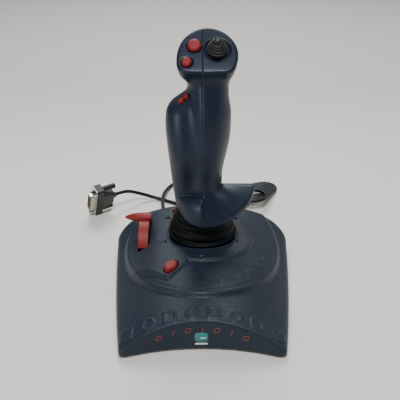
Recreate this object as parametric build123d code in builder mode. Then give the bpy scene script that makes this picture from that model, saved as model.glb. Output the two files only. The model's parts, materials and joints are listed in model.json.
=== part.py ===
"""Desktop flight joystick: arched base, gimballed stick, moulded grip, corded games plug.

Millimetres, +Z up. The origin is on the desk, at the middle of the base's footprint.
The user sits towards -Y and the cord leaves the back of the base.
"""
import os
from math import cos, pi, radians, sin, sqrt, tan

from build123d import *

# ---- driving dimensions -------------------------------------------------------------------
WALL = 2.5                  # moulded wall thickness
FIT = 0.3                   # gap between moulded pieces
RUN = 0.05                  # radial clearance of a running shaft
STICK_Y = 33.5              # stick axis, behind the middle of the base
PIVOT_Z = 26.0              # height of the two crossed stick axes

FOOT_H = 2.0                # rubber feet, under the bottom plate
PLATE_T = 2.5               # bottom plate
COVER_LOW = FOOT_H          # lower edge of the cover
PLATE_TOP = FOOT_H + PLATE_T

FRONT_Y, BACK_Y = -97.9, 96.5
FRONT_HALF, BACK_HALF = 71.3, 90.0
# depth, crown height and arch radius of each arch section
BODY_ARCH = [(-110.0, 31.3, 128.0), (-56.5, 36.2, 129.0), (10.0, 40.1, 138.0), (110.0, 42.2, 180.0)]
RING_ARCH = [(-110.0, 34.6, 133.0), (-20.5, 43.9, 138.0), (110.0, 42.8, 188.0)]
PLATEAU_ARCH = [(-60.0, 42.0, 160.0), (-20.5, 46.4, 160.0), (110.0, 45.2, 195.0)]

COLLAR_R = 33.8             # bore of the collar that holds the boot
COLLAR_LOW = 30.0
COLLAR_WALL = 3.0

THROTTLE_X = -58.9          # throttle wheel
THROTTLE_Y = STICK_Y + 14.0
THROTTLE_Z = 20.0
WHEEL_R = 30.0
WHEEL_W = 9.6
SHAFT_R = 2.0

FRONT_BUTTON = (-29.2, STICK_Y - 57.5)
FRONT_BUTTON_R = (5.6, 8.2)
FRONT_BUTTON_TURN = -25.0
REAR_BUTTON = (-25.5, STICK_Y + 51.0)
BASE_BUTTON_LOW = 27.4
FRONT_BUTTON_TOP, REAR_BUTTON_TOP = 45.8, 45.4
SWITCH_GAP = 1.7

FACE_TILT = 52.0            # elevation of the head face's normal
FACE = Vector(4.5, STICK_Y - 8.0, 229.0)
HEAD_DEPTH = 25.0
HEAD_RX, HEAD_RY = 27.6, 25.6
RIM_LOW, RIM_SLOPE = 68.0, 0.38   # lower rim of the grip at its front, and its rise per mm of depth
RIM_FRONT = STICK_Y - 38.0
RIM_T = 6.8
BACK_LOW = 83.3             # flat lower edge of the grip behind the stick

CORD_R = 2.1
GLAND = (-45.0, 96.5, 12.0)

os.makedirs("parts", exist_ok=True)


def save(part, label):
    """Label a finished piece and write its STEP file."""
    part.label = label
    export_step(part, "parts/" + label + ".step")


# ---- base: outlines and shells ------------------------------------------------------------
def cover_outline(inset):
    """Plan outline of the base, moved inwards by inset."""
    with BuildSketch() as outline:
        with BuildLine():
            ThreePointArc((FRONT_HALF, FRONT_Y), (82.9, -17.0), (BACK_HALF, 65.0))
            ThreePointArc((BACK_HALF, 65.0), (85.2, 86.0), (67.0, 95.6))
            ThreePointArc((67.0, 95.6), (0.0, BACK_Y), (-67.0, 95.6))
            ThreePointArc((-67.0, 95.6), (-85.2, 86.0), (-BACK_HALF, 65.0))
            ThreePointArc((-BACK_HALF, 65.0), (-82.9, -17.0), (-FRONT_HALF, FRONT_Y))
            ThreePointArc((-FRONT_HALF, FRONT_Y), (0.0, -88.8), (FRONT_HALF, FRONT_Y))
        make_face()
        if inset:
            offset(amount=-inset, kind=Kind.INTERSECTION)
        fillet(outline.vertices().group_by(Axis.Y)[0], 4.0)
    return outline.sketch


def arched_block(sections, inset=0.0, half=92.0, floor=-25.0):
    """Solid under a long arch that runs through the given sections."""
    with BuildPart() as block:
        for y, crown, radius in sections:
            top = crown - inset
            arch_r = radius - inset
            edge_drop = arch_r - sqrt(arch_r ** 2 - half ** 2)
            with BuildSketch(Plane.XZ.offset(-y)):
                with BuildLine():
                    ThreePointArc((-half, top - edge_drop), (0, top), (half, top - edge_drop))
                    Polyline((half, top - edge_drop), (half, floor), (-half, floor),
                             (-half, top - edge_drop))
                make_face()
        loft(ruled=True)
    return block.part


def plateau_outline():
    """Round plateau about the stick, with the throttle wing and the pointed button tab."""
    with BuildSketch() as outline:
        with Locations((0, STICK_Y)):
            Circle(50.0)
        with BuildLine():
            Polyline(
                (-14.0, STICK_Y - 53.0), (-31.0, STICK_Y - 72.5), (-64.0, STICK_Y - 41.0),
                (-69.0, STICK_Y), (-67.0, STICK_Y + 30.0), (-52.0, STICK_Y + 48.0),
                (-20.0, STICK_Y + 40.0), (-14.0, STICK_Y - 53.0),
            )
        make_face()
    return outline.sketch


def upright_cylinder(x, y, radius, low, high):
    """Vertical cylinder between two heights."""
    with BuildPart() as rod:
        with BuildSketch(Plane.XY.offset(low)):
            with Locations((x, y)):
                Circle(radius)
        extrude(amount=high - low)
    return rod.part


def cross_cylinder(plane, radius, length):
    """Cylinder that starts at a plane and runs along its normal."""
    with BuildPart() as rod:
        with BuildSketch(plane):
            Circle(radius)
        extrude(amount=length)
    return rod.part


def x_plane(x, y, z):
    """Plane across the X axis at a point."""
    return Plane(origin=(x, y, z), x_dir=(0, 1, 0), z_dir=(1, 0, 0))


def y_plane(x, y, z):
    """Plane across the Y axis at a point."""
    return Plane(origin=(x, y, z), x_dir=(1, 0, 0), z_dir=(0, 1, 0))


body_arch = arched_block(BODY_ARCH)
ring_arch = arched_block(RING_ARCH)
plateau_arch = arched_block(PLATEAU_ARCH)
hollow_arch = arched_block(BODY_ARCH, WALL)

with BuildPart() as ring_block:
    with BuildSketch(Plane.XY.offset(COVER_LOW)):
        with Locations((0, STICK_Y + 9.0)):
            Ellipse(78.0, 99.0)
        add(cover_outline(0.0), mode=Mode.INTERSECT)
    extrude(amount=60.0)
    add(ring_arch, mode=Mode.INTERSECT)

with BuildPart() as plateau_block:
    with BuildSketch(Plane.XY.offset(COVER_LOW)):
        add(plateau_outline())
    extrude(amount=60.0)
    add(plateau_arch, mode=Mode.INTERSECT)

with BuildPart() as cover_block:
    with BuildSketch(Plane.XY.offset(COVER_LOW)):
        add(cover_outline(0.0))
    extrude(amount=60.0)
    add(body_arch, mode=Mode.INTERSECT)
    add(ring_block.part)
    add(plateau_block.part)

with BuildPart() as hollow_block:
    with BuildSketch(Plane.XY.offset(COVER_LOW)):
        add(cover_outline(WALL))
    extrude(amount=60.0)
    add(hollow_arch, mode=Mode.INTERSECT)

SCREWS = [(-52.0, -70.0), (52.0, -70.0), (-62.0, 85.0), (62.0, 85.0)]
SCREW_R, SCREW_LEN = 1.3, 13.0
POST_R = 3.5
HEAD_R, HEAD_H = 2.9, 1.5

with BuildPart() as posts:
    for x, y in SCREWS:
        add(upright_cylinder(x, y, POST_R, PLATE_TOP, 60.0))
    add(upright_cylinder(0, STICK_Y, COLLAR_R + COLLAR_WALL, COLLAR_LOW, 60.0))
    add(cover_block.part, mode=Mode.INTERSECT)

with BuildPart() as base_top_cover:
    add(cover_block.part)
    add(hollow_block.part, mode=Mode.SUBTRACT)
    add(posts.part)
    add(upright_cylinder(0, STICK_Y, COLLAR_R, 0.0, 70.0), mode=Mode.SUBTRACT)
    for x, y in SCREWS:
        add(upright_cylinder(x, y, SCREW_R, PLATE_TOP, PLATE_TOP + SCREW_LEN), mode=Mode.SUBTRACT)
    # throttle slot, concentric with the wheel, and a pocket for the outer bearing
    add(cross_cylinder(x_plane(THROTTLE_X - WHEEL_W / 2 - 0.6, THROTTLE_Y, THROTTLE_Z), WHEEL_R + 0.6,
                       WHEEL_W + 1.2), mode=Mode.SUBTRACT)
    with Locations((-66.6, THROTTLE_Y, 12.0)):
        Box(5.0, 12.0, 24.6, mode=Mode.SUBTRACT)
    # button holes: a slanted oval in front, a round one behind
    with BuildSketch(Plane.XY):
        with Locations(FRONT_BUTTON):
            Ellipse(FRONT_BUTTON_R[0] + 0.4, FRONT_BUTTON_R[1] + 0.4, rotation=FRONT_BUTTON_TURN)
        with Locations(REAR_BUTTON):
            Circle(6.3)
    extrude(amount=70.0, mode=Mode.SUBTRACT)
    # six shallow round dimples about the stick
    with Locations((0, STICK_Y, 48.0)):
        with PolarLocations(43.0, 6, start_angle=30):
            Sphere(6.2, mode=Mode.SUBTRACT)
    add(cross_cylinder(y_plane(GLAND[0], 80.0, GLAND[2]), 4.0, 30.0), mode=Mode.SUBTRACT)
save(base_top_cover.part, "base_top_cover")

# ---- base: bottom plate, feet, screws -----------------------------------------------------
FEET = [(-57.0, -80.0), (57.0, -80.0), (-71.0, 66.0), (71.0, 66.0)]
SWITCH_TOP = BASE_BUTTON_LOW - SWITCH_GAP
SWITCH_H = 5.0
PEDESTAL_TOP = SWITCH_TOP - SWITCH_H
BOARD = (13.0, -56.0, 66.0, 34.0)
BOARD_Z = 9.0
BOARD_HOLES = [(BOARD[0] + sx * 28.0, BOARD[1] + sy * 13.0) for sx in (-1, 1) for sy in (-1, 1)]

with BuildPart() as base_bottom_plate:
    with BuildSketch(Plane.XY.offset(FOOT_H)):
        add(cover_outline(WALL + FIT))
    extrude(amount=PLATE_T)
    for x, y in (FRONT_BUTTON, REAR_BUTTON):
        add(upright_cylinder(x, y, 5.0, PLATE_TOP, PEDESTAL_TOP))
    for x, y in BOARD_HOLES:
        add(upright_cylinder(x, y, 3.0, PLATE_TOP, BOARD_Z))
        add(upright_cylinder(x, y, 1.0, PLATE_TOP, BOARD_Z), mode=Mode.SUBTRACT)
    with BuildSketch(Plane.XY.offset(FOOT_H)):
        with Locations(*SCREWS):
            Circle(HEAD_R + 0.2)
    extrude(amount=HEAD_H, mode=Mode.SUBTRACT)
    with BuildSketch(Plane.XY.offset(FOOT_H)):
        with Locations(*SCREWS):
            Circle(SCREW_R + 0.3)
    extrude(amount=PLATE_T, mode=Mode.SUBTRACT)
save(base_bottom_plate.part, "base_bottom_plate")

with BuildPart() as rubber_feet:
    with BuildSketch():
        with Locations(*FEET):
            Circle(6.5)
    extrude(amount=FOOT_H)
    chamfer(rubber_feet.edges().group_by(Axis.Z)[0], 0.5)
save(rubber_feet.part, "rubber_feet")


def recess_cross(x, y, z, depth):
    """Cross-shaped driver recess cut upwards from a screw head's face."""
    with BuildPart() as cross:
        with Locations((x, y, z + depth / 2)):
            Box(3.2, 0.7, depth)
            Box(0.7, 3.2, depth)
    return cross.part


with BuildPart() as base_screws:
    for x, y in SCREWS:
        add(upright_cylinder(x, y, HEAD_R, FOOT_H, FOOT_H + HEAD_H))
        add(upright_cylinder(x, y, SCREW_R, FOOT_H + HEAD_H, PLATE_TOP + SCREW_LEN - 1.0))
        add(recess_cross(x, y, FOOT_H, 0.8), mode=Mode.SUBTRACT)
save(base_screws.part, "base_screws")

# ---- circuit board and base switches ------------------------------------------------------
with BuildPart() as main_board:
    with BuildSketch(Plane.XY.offset(BOARD_Z)):
        with Locations((BOARD[0], BOARD[1])):
            Rectangle(BOARD[2], BOARD[3])
        with Locations(*BOARD_HOLES):
            Circle(1.2, mode=Mode.SUBTRACT)
    extrude(amount=1.6)
save(main_board.part, "main_board")

with BuildPart() as board_screws:
    for x, y in BOARD_HOLES:
        add(upright_cylinder(x, y, 1.0, PLATE_TOP + 0.5, BOARD_Z + 1.6))
        add(upright_cylinder(x, y, 2.0, BOARD_Z + 1.6, BOARD_Z + 2.8))
save(board_screws.part, "board_screws")

with BuildPart() as controller_chip:
    with Locations((BOARD[0] - 4.0, BOARD[1], BOARD_Z + 1.6 + 1.6)):
        Box(24.0, 7.0, 3.2)
    with BuildSketch(Plane.XY.offset(BOARD_Z + 1.6)):
        for side in (-1, 1):
            with Locations((BOARD[0] - 4.0, BOARD[1] + side * 3.9)):
                with GridLocations(2.54, 1.0, 9, 1):
                    Rectangle(0.6, 0.8)
    extrude(amount=2.0)
save(controller_chip.part, "controller_chip")

with BuildPart() as base_switches:
    for x, y in (FRONT_BUTTON, REAR_BUTTON):
        with Locations((x, y, PEDESTAL_TOP + SWITCH_H / 2 - 0.5)):
            Box(7.0, 7.0, SWITCH_H - 1.0)
        add(upright_cylinder(x, y, 1.6, SWITCH_TOP - 1.0, SWITCH_TOP))
save(base_switches.part, "base_switches")


# ---- base buttons -------------------------------------------------------------------------
def oval(rx, ry):
    """Slanted oval of the front base button."""
    with BuildSketch() as shape:
        with Locations(FRONT_BUTTON):
            Ellipse(rx, ry, rotation=FRONT_BUTTON_TURN)
    return shape.sketch


with BuildPart() as base_button_front:
    with BuildSketch(Plane.XY.offset(BASE_BUTTON_LOW)):
        add(oval(*FRONT_BUTTON_R))
    extrude(amount=FRONT_BUTTON_TOP - BASE_BUTTON_LOW)
    fillet(base_button_front.faces().sort_by(Axis.Z)[-1].edges(), 2.0)
    with BuildSketch(Plane.XY.offset(BASE_BUTTON_LOW)):
        add(oval(FRONT_BUTTON_R[0] + 1.4, FRONT_BUTTON_R[1] + 1.4))
    extrude(amount=1.6)
save(base_button_front.part, "base_button_front")

with BuildPart() as base_button_rear:
    add(upright_cylinder(*REAR_BUTTON, 5.9, BASE_BUTTON_LOW, REAR_BUTTON_TOP))
    fillet(base_button_rear.faces().sort_by(Axis.Z)[-1].edges(), 2.0)
    add(upright_cylinder(*REAR_BUTTON, 7.6, BASE_BUTTON_LOW, BASE_BUTTON_LOW + 1.6))
save(base_button_rear.part, "base_button_rear")

# ---- boot ---------------------------------------------------------------------------------
BOOT_SKIN = 1.2
BOOT_TOP_R = 25.0
BOOT_PROFILE = [
    (33.5, COLLAR_LOW), (33.5, 48.0), (34.4, 49.2), (33.9, 51.0), (30.4, 53.4), (31.4, 56.0),
    (31.0, 58.0), (28.2, 60.4), (29.0, 63.0), (28.4, 65.2), (26.2, 67.4), (26.9, 70.2), (26.2, 72.4),
    (24.8, 74.4), (25.4, 77.0), (BOOT_TOP_R, 82.4),
]
boot_inner = [(r - BOOT_SKIN, z) for r, z in BOOT_PROFILE]
rim_plane = Plane(origin=(0, RIM_FRONT, RIM_LOW - 0.9), x_dir=(1, 0, 0), z_dir=(0, -RIM_SLOPE, 1))

with BuildPart() as boot:
    with BuildSketch(Plane.XZ.offset(-STICK_Y)):
        with BuildLine():
            Polyline(*BOOT_PROFILE, *reversed(boot_inner), BOOT_PROFILE[0])
        make_face()
    revolve(axis=Axis((0, STICK_Y, 0), (0, 0, 1)))
    split(bisect_by=rim_plane, keep=Keep.BOTTOM)
save(boot.part, "boot")

with BuildPart() as boot_retaining_ring:
    with BuildSketch(Plane.XY.offset(COLLAR_LOW - 2.0)):
        with Locations((0, STICK_Y)):
            Circle(COLLAR_R + COLLAR_WALL)
            Circle(31.5, mode=Mode.SUBTRACT)
    extrude(amount=2.0)
save(boot_retaining_ring.part, "boot_retaining_ring")

# ---- gimbal -------------------------------------------------------------------------------
UPRIGHT_IN, UPRIGHT_OUT = 18.0, 23.0
RING_X, RING_Y, RING_H = 17.0, 16.5, 12.0
RING_IN_X, RING_IN_Y = 13.0, 12.5
HUB_X, HUB_Y = 8.0, 7.0

with BuildPart() as gimbal_housing:
    with Locations((0, STICK_Y, PLATE_TOP + 1.25)):
        Box(30.0, 62.0, 2.5)
    for side in (-1, 1):
        with Locations((0, STICK_Y + side * (UPRIGHT_IN + UPRIGHT_OUT) / 2, (PLATE_TOP + 34.0) / 2)):
            Box(18.0, UPRIGHT_OUT - UPRIGHT_IN, 34.0 - PLATE_TOP)
    fillet(gimbal_housing.edges().filter_by(Axis.Y).group_by(Axis.Z)[-1], 6.0)
    add(cross_cylinder(y_plane(0, STICK_Y - 30, PIVOT_Z), SHAFT_R + RUN, 60.0), mode=Mode.SUBTRACT)
save(gimbal_housing.part, "gimbal_housing")

with BuildPart() as gimbal_ring:
    with Locations((0, STICK_Y, PIVOT_Z)):
        Box(2 * RING_X, 2 * RING_Y, RING_H)
        Box(2 * RING_IN_X, 2 * RING_IN_Y, RING_H, mode=Mode.SUBTRACT)
    add(cross_cylinder(x_plane(-30, STICK_Y, PIVOT_Z), SHAFT_R + RUN, 60.0), mode=Mode.SUBTRACT)
    add(cross_cylinder(y_plane(0, STICK_Y - 30, PIVOT_Z), SHAFT_R, 60.0), mode=Mode.SUBTRACT)
save(gimbal_ring.part, "gimbal_ring")

with BuildPart() as roll_pins:
    add(cross_cylinder(y_plane(0, STICK_Y + RING_IN_Y + 0.4, PIVOT_Z), SHAFT_R, 15.0))
    add(cross_cylinder(y_plane(0, STICK_Y - 31.3, PIVOT_Z), SHAFT_R, 31.3 - RING_IN_Y - 0.4))
save(roll_pins.part, "roll_pins")

with BuildPart() as pitch_pin:
    add(cross_cylinder(x_plane(-25.5, STICK_Y, PIVOT_Z), SHAFT_R, 49.0))
save(pitch_pin.part, "pitch_pin")

with BuildPart() as stick_hub:
    with Locations((0, STICK_Y, PIVOT_Z + 1.5)):
        Box(2 * HUB_X, 2 * HUB_Y, 21.0)
    chamfer(stick_hub.edges().filter_by(Axis.Z), 1.5)
    add(cross_cylinder(x_plane(-20, STICK_Y, PIVOT_Z), SHAFT_R, 40.0), mode=Mode.SUBTRACT)
    add(upright_cylinder(0, STICK_Y, 5.0, PIVOT_Z + 4.0, 60.0), mode=Mode.SUBTRACT)
save(stick_hub.part, "stick_hub")

SHAFT_LOW, SHAFT_TOP = PIVOT_Z + 4.0, 118.0
with BuildPart() as stick_shaft:
    add(upright_cylinder(0, STICK_Y, 5.0, SHAFT_LOW, SHAFT_TOP))
    add(upright_cylinder(0, STICK_Y, 3.0, SHAFT_LOW, SHAFT_TOP), mode=Mode.SUBTRACT)
save(stick_shaft.part, "stick_shaft")

with BuildPart() as grip_lead:
    add(upright_cylinder(0, STICK_Y, 2.2, SHAFT_LOW + 3.0, SHAFT_TOP + 30.0))
save(grip_lead.part, "grip_lead")


def potentiometer(plane, bore):
    """Round potentiometer body with its solder tab; the plane's normal points away from the shaft."""
    with BuildPart() as pot:
        with BuildSketch(plane):
            Circle(8.0)
            Circle(bore, mode=Mode.SUBTRACT)
        extrude(amount=6.0)
        with BuildSketch(plane.offset(1.0)):
            with Locations((0, -9.5)):
                Rectangle(10.0, 4.0)
        extrude(amount=1.0)
    return pot.part


THROTTLE_POT_X = -50.2
roll_pot_plane = y_plane(0, STICK_Y + UPRIGHT_OUT, PIVOT_Z)
pitch_pot_plane = Plane(origin=(RING_X, STICK_Y, PIVOT_Z), x_dir=(0, 0, 1), z_dir=(1, 0, 0))
throttle_pot_plane = x_plane(THROTTLE_POT_X, THROTTLE_Y, THROTTLE_Z)
save(potentiometer(roll_pot_plane, SHAFT_R + RUN), "roll_potentiometer")
save(potentiometer(pitch_pot_plane, SHAFT_R + RUN), "pitch_potentiometer")
save(potentiometer(throttle_pot_plane, SHAFT_R + RUN), "throttle_potentiometer")


def torsion_spring(plane, turns):
    """Centring coil round a pin, wound along the plane's normal."""
    with BuildPart() as coil:
        with BuildLine():
            path = Helix(pitch=1.5, height=1.5 * turns, radius=3.8, center=plane.origin,
                         direction=plane.z_dir)
        with BuildSketch(Plane(origin=path @ 0, z_dir=path % 0)):
            Circle(0.55)
        sweep(is_frenet=True)
    return coil.part


save(torsion_spring(y_plane(0, STICK_Y - 30.6, PIVOT_Z), 4), "roll_spring")
save(torsion_spring(x_plane(-24.8, STICK_Y, PIVOT_Z), 4), "pitch_spring")

# ---- throttle -----------------------------------------------------------------------------
PADDLE = 11.0               # the paddle stands this many degrees behind the top of the wheel
EAR_T = 2.5
wheel_left = THROTTLE_X - WHEEL_W / 2
SHAFT_LEFT = wheel_left - FIT - 0.3 - EAR_T


def wheel_point(angle, radius):
    """Point of the wheel's side view, at an angle in front of the top."""
    turn = radians(angle)
    return (THROTTLE_Y - radius * sin(turn), THROTTLE_Z + radius * cos(turn))


with BuildPart() as throttle_lever:
    with BuildSketch(x_plane(wheel_left, 0, 0)):
        with BuildLine():
            Polyline(wheel_point(63, WHEEL_R), (THROTTLE_Y, THROTTLE_Z - 3.0), wheel_point(-110, WHEEL_R))
            ThreePointArc(wheel_point(-110, WHEEL_R), wheel_point(-20, WHEEL_R), wheel_point(63, WHEEL_R))
        make_face()
        with Locations((THROTTLE_Y, THROTTLE_Z)):
            Circle(5.0)
    extrude(amount=WHEEL_W)
    # paddle: a rounded bar across the top of the wheel, pointed at its outer end
    paddle_plane = Plane(origin=(-52.0, *wheel_point(-PADDLE, WHEEL_R + 1.0)), x_dir=(0, 1, -0.2),
                         z_dir=(-1, 0, 0))
    for reach, rx, ry in ((0.0, 6.0, 4.0), (11.0, 6.0, 4.6), (20.0, 4.2, 3.4), (26.5, 1.2, 1.2)):
        with BuildSketch(paddle_plane.offset(reach)):
            Ellipse(rx, ry)
    loft()
    add(cross_cylinder(x_plane(-80, THROTTLE_Y, THROTTLE_Z), SHAFT_R, 40.0), mode=Mode.SUBTRACT)
save(throttle_lever.part, "throttle_lever")

with BuildPart() as throttle_shaft:
    add(cross_cylinder(x_plane(SHAFT_LEFT + 0.2, THROTTLE_Y, THROTTLE_Z), SHAFT_R, 21.0))
save(throttle_shaft.part, "throttle_shaft")

EAR_XS = (SHAFT_LEFT, THROTTLE_POT_X - EAR_T)
with BuildPart() as throttle_bracket:
    with BuildSketch(Plane.XY.offset(PLATE_TOP)):
        with Locations(((SHAFT_LEFT + THROTTLE_POT_X) / 2, THROTTLE_Y)):
            Rectangle(THROTTLE_POT_X - SHAFT_LEFT, 10.0)
    extrude(amount=1.6)
    for x in EAR_XS:
        with BuildSketch(x_plane(x, THROTTLE_Y, 0)):
            with BuildLine():
                Polyline((-5.0, PLATE_TOP), (5.0, PLATE_TOP), (3.4, THROTTLE_Z), (-3.4, THROTTLE_Z),
                         (-5.0, PLATE_TOP))
            make_face()
            with Locations((0, THROTTLE_Z)):
                Circle(3.4)
        extrude(amount=EAR_T)
    add(cross_cylinder(x_plane(-80, THROTTLE_Y, THROTTLE_Z), SHAFT_R + RUN, 40.0), mode=Mode.SUBTRACT)
save(throttle_bracket.part, "throttle_bracket")

# ---- grip ---------------------------------------------------------------------------------
face_normal = Vector(0, -cos(radians(FACE_TILT)), sin(radians(FACE_TILT)))
face_plane = Plane(origin=FACE, x_dir=(1, 0, 0), z_dir=face_normal)

# height, left edge, right edge, front depth, back depth of each section of the column
COLUMN = [
    (72.0, -25.6, 16.5, 24.0, 23.0), (92.0, -27.6, 15.6, 23.5, 22.0), (110.0, -29.6, 16.6, 24.0, 22.0),
    (127.0, -31.3, 20.7, 25.0, 22.0), (151.0, -33.4, 25.5, 26.0, 22.0), (169.0, -33.4, 26.0, 25.0, 22.0),
    (181.5, -27.5, 24.6, 23.0, 21.0), (194.0, -13.6, 23.4, 20.0, 19.0), (212.0, -14.0, 25.0, 17.0, 17.0),
]


def column(inset, low, high):
    """Grip column as one smooth loft, inset from the outer surface."""
    with BuildPart() as body:
        for z, left, right, front, back in COLUMN:
            with BuildSketch(Plane.XY.offset(z)):
                with Locations(((left + right) / 2, STICK_Y + (back - front) / 2)):
                    Ellipse((right - left) / 2 - inset, (front + back) / 2 - inset)
        loft()
        with Locations((0, STICK_Y, (low + high) / 2)):
            Box(120, 120, high - low, mode=Mode.INTERSECT)
    return body.part


def head(inset):
    """Head as a short oval drum behind its face."""
    with BuildPart() as drum:
        with BuildSketch(face_plane.offset(-inset)):
            Ellipse(HEAD_RX - inset, HEAD_RY - inset)
        extrude(amount=-(HEAD_DEPTH - 2 * inset))
        fillet(drum.faces().sort_by(Axis(FACE, face_normal))[0].edges(), 9.0 - inset)
        fillet(drum.faces().sort_by(Axis(FACE, face_normal))[-1].edges(), 4.0 - inset)
    return drum.part


wing_plane = Plane(origin=(0, RIM_FRONT, RIM_LOW), x_dir=(1, 0, 0), z_dir=(0, -RIM_SLOPE, 1))
with BuildPart() as wing:
    with BuildSketch():
        with BuildLine():
            Spline((-25.6, STICK_Y + 2), (-22.5, STICK_Y - 16), (-15.5, STICK_Y - 27), (0, STICK_Y - 38),
                   (22, STICK_Y - 32), (41, STICK_Y - 18), (49.6, STICK_Y - 2), (50.0, STICK_Y + 6))
            Polyline((50.0, STICK_Y + 6), (46.0, STICK_Y + 10), (10.0, STICK_Y + 10), (-25.6, STICK_Y + 2))
        make_face()
    extrude(amount=150.0)
    split(bisect_by=wing_plane, keep=Keep.TOP)
    split(bisect_by=wing_plane.offset(RIM_T), keep=Keep.BOTTOM)

with BuildPart() as grip_body:
    add(column(0.0, 72.0, 212.0))
    add(head(0.0))
    split(bisect_by=wing_plane, keep=Keep.TOP)
    add(wing.part)
    add(column(0.0, BACK_LOW, 110.0))

SOLID_TOP = 101.0           # below this height the column is solid round the shaft
with BuildPart() as grip_core:
    add(column(WALL, SOLID_TOP, 210.0))
    add(head(WALL))

GRIP_SCREWS = [(STICK_Y - 11.0, 110.0), (STICK_Y + 10.0, 142.0), (STICK_Y + 1.0, 199.0)]
GRIP_HEAD_X = 9.0
TRIGGER_PIVOT = (STICK_Y + 11.0, 186.0)
TRIGGER_W = 9.6
TRIGGER_PIN_X = 8.0
TRIGGER_SWITCH = (0.0, TRIGGER_PIVOT[0] - 0.6, TRIGGER_PIVOT[1] - 17.0)
SWITCH_BOX = (12.0, 6.0, 9.0)

with BuildPart() as grip_bosses:
    for y, z in GRIP_SCREWS:
        add(cross_cylinder(x_plane(-45, y, z), 4.2, 90.0))
    for x in (-TRIGGER_PIN_X - 0.5, TRIGGER_W / 2 + 0.4):
        add(cross_cylinder(x_plane(x, *TRIGGER_PIVOT), 3.4, TRIGGER_PIN_X + 0.1 - TRIGGER_W / 2))
        with Locations((x + 1.65, TRIGGER_PIVOT[0] + 6.0, TRIGGER_PIVOT[1])):
            Box(3.3, 14.0, 6.8)
    # shelf from the left wall to the trigger's switch
    shelf_end = -SWITCH_BOX[0] / 2
    with Locations((shelf_end - 20.0, TRIGGER_SWITCH[1], TRIGGER_SWITCH[2])):
        Box(40.0, SWITCH_BOX[1], SWITCH_BOX[2])
    add(grip_body.part, mode=Mode.INTERSECT)

LARGE_BUTTON, SMALL_BUTTON, HAT = (-11.7, 6.4), (-18.0, -10.1), (8.1, 2.3)
LARGE_R, SMALL_R = 6.2, 4.5
DISH_R, DISH_DEPTH = 11.2, 3.0
STEM_HOLE_R = 4.4
SIDE_NORMAL = Vector(-0.55, -0.45, 0.7)
SIDE_R = 2.7
SIDE_BUTTONS = {
    "side_button_upper": (-14.6, STICK_Y - 9.0, 190.0),
    "side_button_lower": (-18.8, STICK_Y - 9.0, 186.0),
}


def side_plane(spot):
    """Plane of a thumb button on the shoulder."""
    return Plane(origin=spot, x_dir=(0.7, 0, 0.55), z_dir=SIDE_NORMAL)


with BuildPart() as grip_shells:
    add(grip_body.part)
    add(grip_core.part, mode=Mode.SUBTRACT)
    add(grip_bosses.part)
    add(upright_cylinder(0, STICK_Y, 5.0 + FIT / 4, 50.0, SHAFT_TOP), mode=Mode.SUBTRACT)
    for (x, y), r in ((LARGE_BUTTON, LARGE_R), (SMALL_BUTTON, SMALL_R)):
        with BuildSketch(face_plane.offset(-7.4)):
            with Locations((x, y)):
                Circle(r + FIT)
        extrude(amount=13.4, mode=Mode.SUBTRACT)
    # the hat's dish keeps a floor of its own behind the face
    with BuildSketch(face_plane.offset(-DISH_DEPTH - WALL)):
        with Locations(HAT):
            Circle(DISH_R + 1.5)
    extrude(amount=DISH_DEPTH + WALL - 1.0)
    with BuildSketch(face_plane.offset(-DISH_DEPTH)):
        with Locations(HAT):
            Circle(DISH_R)
    extrude(amount=12.0, mode=Mode.SUBTRACT)
    with BuildSketch(face_plane.offset(-12.0)):
        with Locations(HAT):
            Circle(STEM_HOLE_R)
    extrude(amount=12.0, mode=Mode.SUBTRACT)
    for spot in SIDE_BUTTONS.values():
        add(cross_cylinder(side_plane(spot).offset(-7.0), SIDE_R + 0.25, 12.0), mode=Mode.SUBTRACT)
    # trigger opening in the back of the column
    with Locations((0, STICK_Y + 20.0, 175.0)):
        Box(TRIGGER_W + 0.8, 20.0, 40.0, mode=Mode.SUBTRACT)
    add(cross_cylinder(x_plane(-TRIGGER_PIN_X, *TRIGGER_PIVOT), 1.5, 2 * TRIGGER_PIN_X), mode=Mode.SUBTRACT)
    for y, z in GRIP_SCREWS:
        add(cross_cylinder(x_plane(GRIP_HEAD_X, y, z), 3.0, 30.0), mode=Mode.SUBTRACT)
        add(cross_cylinder(x_plane(-8.0, y, z), SCREW_R, 20.0), mode=Mode.SUBTRACT)

with BuildPart() as left_grip_shell:
    add(grip_shells.part)
    split(bisect_by=Plane.YZ, keep=Keep.BOTTOM)
save(left_grip_shell.part, "left_grip_shell")

with BuildPart() as right_grip_shell:
    add(grip_shells.part)
    split(bisect_by=Plane.YZ, keep=Keep.TOP)
save(right_grip_shell.part, "right_grip_shell")

with BuildPart() as grip_screws:
    for y, z in GRIP_SCREWS:
        add(cross_cylinder(x_plane(-7.5, y, z), SCREW_R, 7.5 + GRIP_HEAD_X))
        add(cross_cylinder(x_plane(GRIP_HEAD_X, y, z), 2.8, 1.6))
save(grip_screws.part, "grip_screws")

# ---- head: buttons, board, hat ------------------------------------------------------------
BOARD_DEPTH = 17.0
BUTTON_BODY, BUTTON_FOOT = 5.4, 8.0
SMALL_FOOT = (-15.8, -8.5)
TRAVEL_GAP = 1.4


def head_button(centre, radius, dome, foot_spot, foot_r):
    """Domed push button; a narrower foot reaches down to its switch."""
    with BuildPart() as button:
        with BuildSketch(face_plane.offset(-BUTTON_BODY)):
            with Locations(centre):
                Circle(radius)
        extrude(amount=BUTTON_BODY + dome)
        fillet(button.faces().sort_by(Axis(FACE, face_normal))[-1].edges(), dome * 0.9)
        with BuildSketch(face_plane.offset(-BUTTON_FOOT)):
            with Locations(foot_spot):
                Circle(foot_r)
        extrude(amount=BUTTON_FOOT - BUTTON_BODY)
    return button.part


save(head_button(LARGE_BUTTON, LARGE_R, 3.0, LARGE_BUTTON, 3.0), "head_button_large")
save(head_button(SMALL_BUTTON, SMALL_R, 2.6, SMALL_FOOT, 1.6), "head_button_small")

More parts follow.
